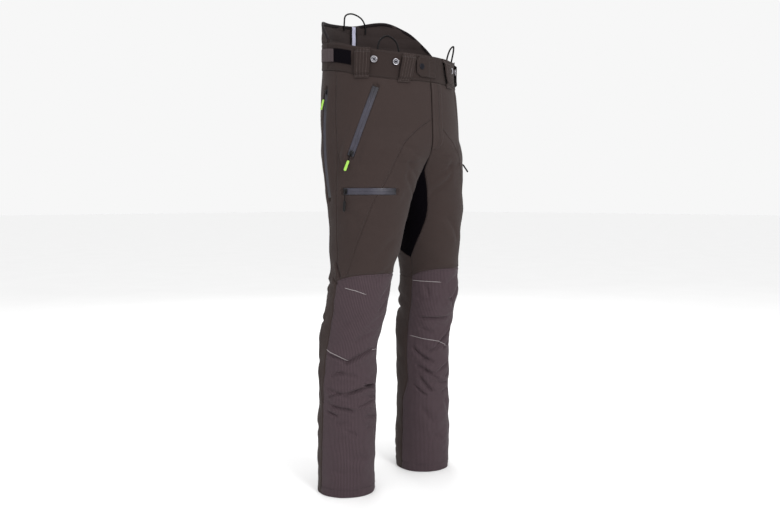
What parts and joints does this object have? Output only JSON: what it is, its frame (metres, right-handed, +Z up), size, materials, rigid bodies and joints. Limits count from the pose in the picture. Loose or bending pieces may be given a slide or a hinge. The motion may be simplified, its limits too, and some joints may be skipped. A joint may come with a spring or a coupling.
{
  "type": "chainsaw trousers",
  "caption": "Full-length protective forestry trousers with a raised back guard, saw pads in the legs, zipped pockets and vents, belt loops and brace buttons.",
  "frame": {"origin": "on the floor, midway between the two hems on the garment's mid-plane", "axes": "+Z up, -Y towards the wearer's front, +X towards the wearer's left"},
  "size_m": [0.4228, 0.2864, 1.1789],
  "materials": {
    "shell_cloth": "matte woven stretch softshell, dark brown grey",
    "reinforced_cloth": "matte ripstop over-layer, slightly lighter and purplish",
    "gusset_cloth": "matte black knitted stretch cloth",
    "saw_pad_fibre": "loose layered cut-stopping fibre in a knit cover",
    "waistband_cloth": "matte woven stretch softshell",
    "guard_cloth": "padded back guard with a dark bound edge",
    "coated_zip_tape": "smooth coated tape, slate blue sheen",
    "black_slider": "black moulded finish",
    "lime_grip": "lime green moulded grip on a black cord",
    "black_grip": "black moulded grip on a black cord",
    "steel": "bright nickel-plated metal",
    "elastic_cord": "braided black elastic cord",
    "webbing": "woven grey-brown webbing",
    "hook_and_loop": "black loop pile"
  },
  "bodies": {
    "trousers": {"adjuster_loop_patch_left": "hook_and_loop", "adjuster_loop_patch_right": "hook_and_loop", "back_guard": "guard_cloth", "belt_loop_back_left": "shell_cloth", "belt_loop_back_right": "shell_cloth", "belt_loop_front_left": "shell_cloth", "belt_loop_front_right": "shell_cloth", "belt_loop_hip_left": "shell_cloth", "belt_loop_hip_right": "shell_cloth", "brace_button_back_left": "steel", "brace_button_back_right": "steel", "brace_button_inner_left": "steel", "brace_button_inner_right": "steel", "brace_button_outer_left": "steel", "brace_button_outer_right": "steel", "calf_panel_left": "shell_cloth", "calf_panel_right": "shell_cloth", "crotch_gusset_left": "gusset_cloth", "crotch_gusset_right": "gusset_cloth", "elastic_loop_back": "elastic_cord", "elastic_loop_front_left": "elastic_cord", "elastic_loop_front_right": "elastic_cord", "fly_flap": "shell_cloth", "fly_zip_tape": "coated_zip_tape", "front_inner_panel_left": "shell_cloth", "front_inner_panel_right": "shell_cloth", "front_outer_panel_left": "shell_cloth", "front_outer_panel_right": "shell_cloth", "front_pocket_left_zip_tape": "coated_zip_tape", "front_pocket_right_zip_tape": "coated_zip_tape", "knee_and_shin_panel_left": "reinforced_cloth", "knee_and_shin_panel_right": "reinforced_cloth", "saw_pad_left": "saw_pad_fibre", "saw_pad_right": "saw_pad_fibre", "seat_and_back_panel_left": "shell_cloth", "seat_and_back_panel_right": "shell_cloth", "side_panel_left": "shell_cloth", "side_panel_right": "shell_cloth", "snap_stud": "steel", "thigh_pocket_right_zip_tape": "coated_zip_tape", "vent_left_zip_tape": "coated_zip_tape", "vent_right_zip_tape": "coated_zip_tape", "waistband_back": "waistband_cloth", "waistband_front_left": "waistband_cloth", "waistband_front_right": "waistband_cloth"},
    "front_pocket_right_zip_slider": {"front_pocket_right_zip_slider": "black_slider"},
    "front_pocket_right_zip_puller": {"front_pocket_right_zip_puller": "lime_grip"},
    "front_pocket_left_zip_slider": {"front_pocket_left_zip_slider": "black_slider"},
    "front_pocket_left_zip_puller": {"front_pocket_left_zip_puller": "black_grip"},
    "thigh_pocket_right_zip_slider": {"thigh_pocket_right_zip_slider": "black_slider"},
    "thigh_pocket_right_zip_puller": {"thigh_pocket_right_zip_puller": "black_grip"},
    "vent_right_zip_slider": {"vent_right_zip_slider": "black_slider"},
    "vent_right_zip_puller": {"vent_right_zip_puller": "lime_grip"},
    "vent_left_zip_slider": {"vent_left_zip_slider": "black_slider"},
    "vent_left_zip_puller": {"vent_left_zip_puller": "lime_grip"},
    "fly_zip_slider": {"fly_zip_slider": "steel"},
    "waist_tab": {"waist_tab": "shell_cloth", "snap_cap": "black_slider"},
    "adjuster_strap_right": {"adjuster_strap_right": "webbing"},
    "adjuster_strap_left": {"adjuster_strap_left": "webbing"}
  },
  "joints": [
    {"name": "front_pocket_right_zip_slide", "type": "hinge", "parent": "trousers", "child": "front_pocket_right_zip_slider", "pos_m": [0.84801, 0.78425, 0.74449], "axis": [-0.5854, 0.739, 0.3333], "range_deg": [0, 6.67]},
    {"name": "front_pocket_right_puller_swing", "type": "hinge", "parent": "front_pocket_right_zip_slider", "child": "front_pocket_right_zip_puller", "pos_m": [-0.18913, -0.0645, 0.8043], "axis": [-0.6178, 0.7114, 0.3349], "range_deg": [0, 120]},
    {"name": "front_pocket_left_zip_slide", "type": "hinge", "parent": "trousers", "child": "front_pocket_left_zip_slider", "pos_m": [-0.84801, 0.78425, 0.74449], "axis": [-0.5854, -0.739, -0.3333], "range_deg": [0, 6.67]},
    {"name": "front_pocket_left_puller_swing", "type": "hinge", "parent": "front_pocket_left_zip_slider", "child": "front_pocket_left_zip_puller", "pos_m": [0.18913, -0.0645, 0.8043], "axis": [-0.6178, -0.7114, -0.3349], "range_deg": [-26, 120]},
    {"name": "thigh_pocket_right_zip_slide", "type": "hinge", "parent": "trousers", "child": "thigh_pocket_right_zip_slider", "pos_m": [-0.09105, -0.02164, 0.7174], "axis": [0, 0, 1], "range_deg": [0, 62.41]},
    {"name": "thigh_pocket_right_puller_swing", "type": "hinge", "parent": "thigh_pocket_right_zip_slider", "child": "thigh_pocket_right_zip_puller", "pos_m": [-0.19633, -0.05143, 0.7174], "axis": [-0.2722, 0.9622, 0], "range_deg": [0, 120]},
    {"name": "vent_right_zip_slide", "type": "hinge", "parent": "trousers", "child": "vent_right_zip_slider", "pos_m": [0.2632, -0.75447, 0.86594], "axis": [-0.8623, -0.5044, 0.0455], "range_deg": [0, 15.32]},
    {"name": "vent_right_puller_swing", "type": "hinge", "parent": "vent_right_zip_slider", "child": "vent_right_zip_puller", "pos_m": [-0.19075, 0.02396, 0.94998], "axis": [0.2993, 0.9537, 0.029], "range_deg": [0, 120]},
    {"name": "vent_left_zip_slide", "type": "hinge", "parent": "trousers", "child": "vent_left_zip_slider", "pos_m": [-0.2632, -0.75447, 0.86594], "axis": [-0.8623, 0.5044, -0.0455], "range_deg": [0, 15.32]},
    {"name": "vent_left_puller_swing", "type": "hinge", "parent": "vent_left_zip_slider", "child": "vent_left_zip_puller", "pos_m": [0.19075, 0.02396, 0.94998], "axis": [0.2993, -0.9537, -0.029], "range_deg": [0, 120]},
    {"name": "fly_zip_slide", "type": "slide", "parent": "trousers", "child": "fly_zip_slider", "axis": [0, 0, -1], "range_m": [0, 0.128]},
    {"name": "waist_tab_fold", "type": "hinge", "parent": "trousers", "child": "waist_tab", "pos_m": [0.01639, -0.13647, 1.009], "axis": [0, 0, 1], "range_deg": [0, 110]},
    {"name": "adjuster_strap_right_fold", "type": "hinge", "parent": "trousers", "child": "adjuster_strap_right", "pos_m": [-0.16843, 0.06267, 1.036], "axis": [0, 0, -1], "range_deg": [0, 110]},
    {"name": "adjuster_strap_left_fold", "type": "hinge", "parent": "trousers", "child": "adjuster_strap_left", "pos_m": [0.16843, 0.06267, 1.036], "axis": [0, 0, 1], "range_deg": [0, 110]}
  ]
}
